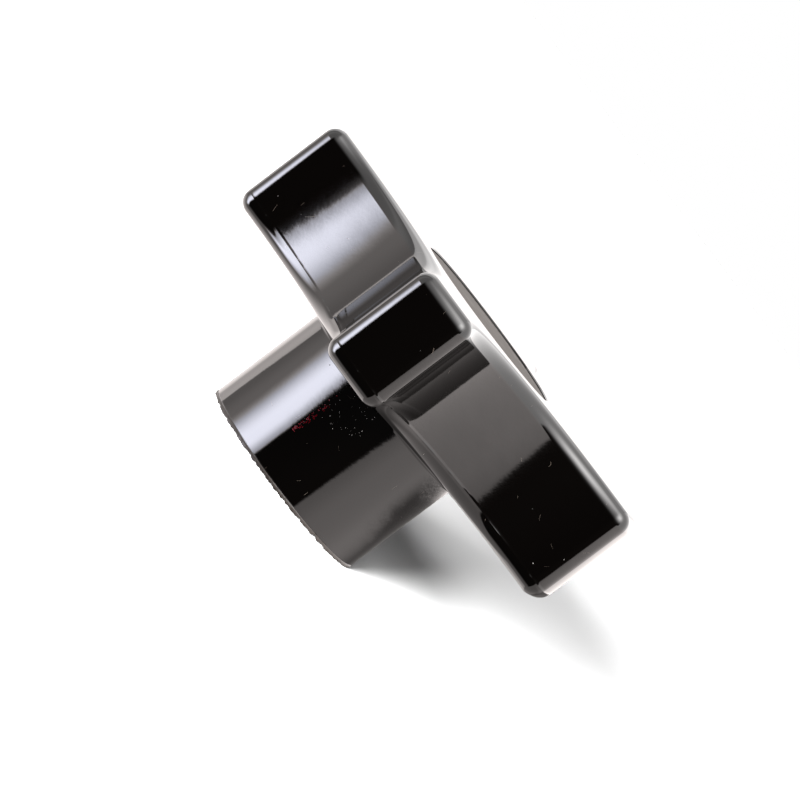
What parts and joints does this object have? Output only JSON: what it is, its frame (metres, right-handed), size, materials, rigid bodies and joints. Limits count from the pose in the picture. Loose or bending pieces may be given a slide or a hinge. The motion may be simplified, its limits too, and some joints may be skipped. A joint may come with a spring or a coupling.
{
  "type": "wing nut",
  "caption": "Star-shaped wing nut: a glossy black moulded hand knob on a round hub, with a threaded brass bush in the hub and a flush cap over the front.",
  "frame": {"origin": "centre of the hub's end, the face that bears on the clamped work", "axes": "+Z along the screw axis from the hub towards the front face; +X and +Y along two neighbouring lobes"},
  "size_m": [0.05, 0.05, 0.0257],
  "materials": {
    "phenolic": "polished black phenolic moulding",
    "brass_bush": "machined brass, straight knurled",
    "cap_plastic": "satin black nylon"
  },
  "bodies": {
    "root": {"knob_body": "phenolic", "threaded_insert": "brass_bush", "centre_cap": "cap_plastic"}
  },
  "joints": []
}
